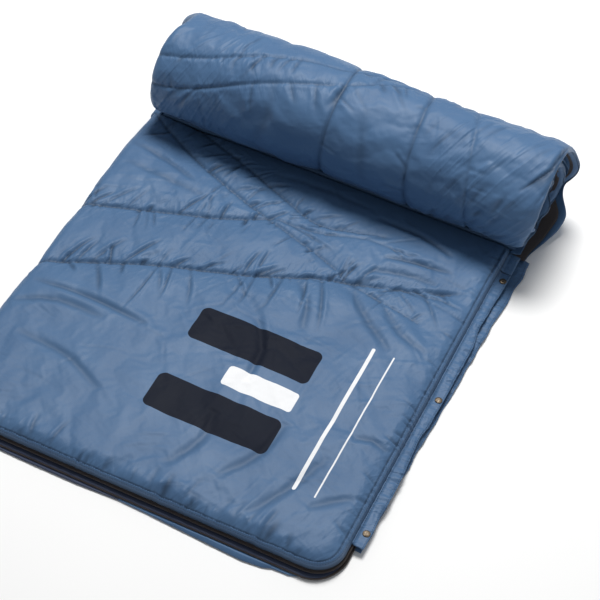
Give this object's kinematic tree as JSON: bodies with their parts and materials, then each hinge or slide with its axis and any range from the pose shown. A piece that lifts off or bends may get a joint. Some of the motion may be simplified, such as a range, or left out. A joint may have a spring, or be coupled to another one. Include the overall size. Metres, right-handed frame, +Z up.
{
  "type": "camp quilt",
  "caption": "Padded camp quilt folded in half and rolled up from its far end, with a loose near corner, a snap placket and an undone two-side zip.",
  "frame": {"origin": "centre of the plan box, on the ground that the quilt lies on", "axes": "+X along the roll from the folded left edge to the snapped right edge, +Y from the near edge towards the roll, +Z up"},
  "size_m": [0.73, 0.8858, 0.2097],
  "materials": {
    "shell": "satin woven nylon",
    "lining": "matt woven polyester",
    "batting": "matt fibre wadding",
    "zip_tape": "matt ribbed tape",
    "zip_coil": "semi-matt nylon coil",
    "snap_brass": "antique brass",
    "zip_metal": "antique brass, worn"
  },
  "bodies": {
    "laid_quilt": {"lower_leaf_shell": "shell", "lower_leaf_batting": "batting", "lower_leaf_lining": "lining", "upper_leaf_shell": "shell", "upper_leaf_batting": "batting", "upper_leaf_lining": "lining", "left_fold_shell": "shell", "left_fold_batting": "batting", "left_fold_lining": "lining", "roll_outer_shell": "shell", "roll_outer_batting": "batting", "roll_outer_lining": "lining", "roll_inner_shell": "shell", "roll_inner_batting": "batting", "roll_inner_lining": "lining", "lower_placket_strip": "shell", "upper_placket_roll_end": "shell", "lower_zip_tape": "zip_tape", "upper_zip_tape_roll_end": "zip_tape", "roll_edge_zip_tape": "zip_tape", "lower_zip_coil": "zip_coil", "upper_zip_coil_roll_end": "zip_coil", "zip_retainer_box": "zip_metal", "snap_post_1": "snap_brass", "snap_stud_1": "snap_brass", "snap_post_2": "snap_brass", "snap_stud_2": "snap_brass", "snap_post_3": "snap_brass", "snap_stud_3": "snap_brass"},
    "corner_flap": {"corner_flap_shell": "shell", "corner_flap_batting": "batting", "corner_flap_lining": "lining", "upper_zip_tape": "zip_tape", "upper_zip_coil": "zip_coil", "zip_insertion_pin": "zip_metal"},
    "snap_placket": {"upper_placket_strip": "shell", "snap_socket_1": "snap_brass", "snap_cap_1": "snap_brass", "snap_socket_2": "snap_brass", "snap_cap_2": "snap_brass", "snap_socket_3": "snap_brass", "snap_cap_3": "snap_brass"},
    "zip_slider": {"zip_slider_body": "zip_metal"},
    "zip_pull": {"zip_pull_tab": "zip_metal"}
  },
  "joints": [
    {"name": "corner_opens", "type": "hinge", "parent": "laid_quilt", "child": "corner_flap", "pos_m": [-0.345, -0.437, 0.0358], "axis": [-0.6995, -0.7147, 0], "range_deg": [0, 135]},
    {"name": "placket_folds_back", "type": "hinge", "parent": "corner_flap", "child": "snap_placket", "pos_m": [0.3235, 0, 0.0144], "axis": [0, -1, 0], "range_deg": [0, 75]},
    {"name": "slider_runs", "type": "slide", "parent": "laid_quilt", "child": "zip_slider", "axis": [1, 0, 0], "range_m": [0, 0.56]},
    {"name": "pull_tab_swings", "type": "hinge", "parent": "zip_slider", "child": "zip_pull", "pos_m": [-0.313, -0.4387, 0.00795], "axis": [0, -1, 0], "range_deg": [0, 170]}
  ]
}
